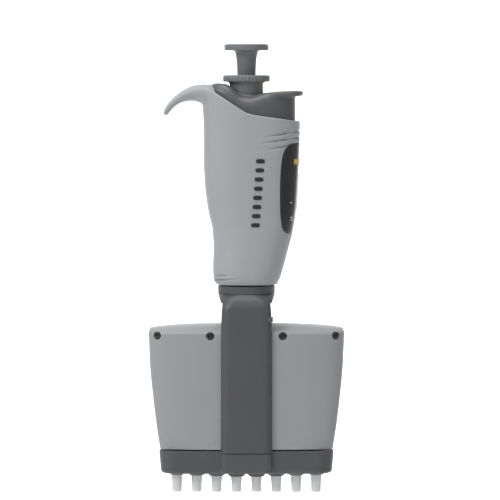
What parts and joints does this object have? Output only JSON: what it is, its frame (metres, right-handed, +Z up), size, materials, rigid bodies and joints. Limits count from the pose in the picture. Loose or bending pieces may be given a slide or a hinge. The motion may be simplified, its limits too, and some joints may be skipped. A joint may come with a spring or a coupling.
{
  "type": "multichannel pipette",
  "caption": "Hand-held multichannel pipette with finger hook, push button, volume ring and counter, swivelling row of tip cones and a comb-shaped tip ejector",
  "frame": {"origin": "middle of the row of nozzles, in the plane of the nozzle ends", "axes": "+Z up the handle, X along the row of nozzles with the display on +X and the finger hook on -X, +Y to the rear"},
  "size_m": [0.0886, 0.0318, 0.2027],
  "materials": {
    "light_grey_plastic": "fine satin moulding",
    "dark_grey_plastic": "fine satin moulding",
    "button_plastic": "satin moulding",
    "black_panel": "glossy",
    "window_clear": "clear",
    "yellow_plastic": "satin",
    "nozzle_plastic": "smooth, slightly translucent",
    "black_plastic": "matt",
    "drum_white": "satin",
    "steel": "ground",
    "brass": "turned",
    "seal_rubber": "soft",
    "cylinder_plastic": "smooth"
  },
  "bodies": {
    "root": {"housing_front": "light_grey_plastic", "housing_rear": "light_grey_plastic", "housing_screws": "steel", "display_cover": "black_panel", "counter_window": "window_clear", "index_mark": "yellow_plastic", "inner_frame": "black_plastic", "bearing_bush": "brass", "swivel_socket": "black_plastic", "blowout_plate": "steel", "blowout_spring": "steel", "return_spring": "steel", "ejector_spring": "steel"},
    "adjuster": {"adjustment_ring": "button_plastic", "drive_spindle": "brass", "drive_gear": "drum_white", "thrust_collar": "brass"},
    "stop_nut": {"volume_nut": "brass"},
    "plunger": {"push_button": "button_plastic", "plunger_rod": "steel", "stop_cup": "brass", "rod_socket": "brass"},
    "units": {"counter_gear": "drum_white", "counter_shaft": "steel", "units_drum": "drum_white"},
    "tens": {"tens_drum": "drum_white"},
    "hundreds": {"hundreds_drum": "drum_white"},
    "ejector": {"ejector_button": "dark_grey_plastic", "colour_plate": "yellow_plastic", "ejector_rod": "steel", "ejector_ring": "dark_grey_plastic", "swivel_clip": "black_plastic"},
    "module": {"module_shell_front": "light_grey_plastic", "module_shell_rear": "light_grey_plastic", "module_screws": "black_plastic", "module_hub": "black_plastic", "guide_posts": "steel", "nozzle_plate": "black_plastic", "cylinders": "cylinder_plastic", "piston_seals": "seal_rubber", "seal_retainer": "black_plastic", "nozzle_1": "nozzle_plastic", "nozzle_2": "nozzle_plastic", "nozzle_3": "nozzle_plastic", "nozzle_4": "nozzle_plastic", "nozzle_5": "nozzle_plastic", "nozzle_6": "nozzle_plastic", "nozzle_7": "nozzle_plastic", "nozzle_8": "nozzle_plastic"},
    "carriage": {"drive_rod": "steel", "piston_beam": "steel", "pistons": "steel"},
    "comb": {"ejector_column": "dark_grey_plastic", "comb_bar": "dark_grey_plastic", "comb_pins": "steel"},
    "latch": {"release_latch": "dark_grey_plastic"}
  },
  "joints": [
    {"name": "adjust_spin", "type": "hinge", "parent": "root", "child": "adjuster", "pos_m": [0, 0, 0.187], "axis": [0, 0, 1], "range_deg": [-3241, 1]},
    {"name": "nut_slide", "type": "slide", "parent": "root", "child": "stop_nut", "axis": [0, 0, 1], "range_m": [-0.00758, 0]},
    {"name": "push_slide", "type": "slide", "parent": "stop_nut", "child": "plunger", "axis": [0, 0, -1], "range_m": [0, 0.0106], "stiffness_N_per_m": 320, "springref_m": -0.012, "deforming": ["return_spring", "blowout_spring"]},
    {"name": "units_spin", "type": "hinge", "parent": "root", "child": "units", "pos_m": [0.0135, 0, 0.13], "axis": [0, 0, 1], "range_deg": [-1, 6481]},
    {"name": "tens_spin", "type": "hinge", "parent": "root", "child": "tens", "pos_m": [0.0135, 0, 0.136], "axis": [0, 0, 1], "range_deg": [-1, 649]},
    {"name": "hundreds_spin", "type": "hinge", "parent": "root", "child": "hundreds", "pos_m": [0.0135, 0, 0.1415], "axis": [0, 0, 1], "range_deg": [-1, 65.8]},
    {"name": "eject_slide", "type": "slide", "parent": "root", "child": "ejector", "axis": [0, 0, -1], "range_m": [0, 0.007], "stiffness_N_per_m": 350, "springref_m": -0.01, "deforming": ["ejector_spring"]},
    {"name": "module_swivel", "type": "hinge", "parent": "root", "child": "module", "pos_m": [0, 0, 0.1], "axis": [0, 0, 1], "continuous": true},
    {"name": "carriage_turn", "type": "hinge", "parent": "plunger", "child": "carriage", "pos_m": [0, 0, 0.115], "axis": [0, 0, 1], "continuous": true},
    {"name": "comb_turn", "type": "hinge", "parent": "ejector", "child": "comb", "pos_m": [0, 0, 0.0904], "axis": [0, 0, 1], "continuous": true},
    {"name": "latch_press", "type": "slide", "parent": "comb", "child": "latch", "axis": [-1, 0, 0], "range_m": [0, 0.0005], "stiffness_N_per_m": 250, "springref_m": -0.002}
  ],
  "couplings": [
    {"joint": "adjust_spin", "follows": "nut_slide", "rad_per_m": 7460.2},
    {"joint": "units_spin", "follows": "nut_slide", "rad_per_m": -14920},
    {"joint": "tens_spin", "follows": "nut_slide", "rad_per_m": -1492},
    {"joint": "hundreds_spin", "follows": "nut_slide", "rad_per_m": -149.2},
    {"joint": "carriage_turn", "follows": "module_swivel", "ratio": 1},
    {"joint": "comb_turn", "follows": "module_swivel", "ratio": 1}
  ]
}
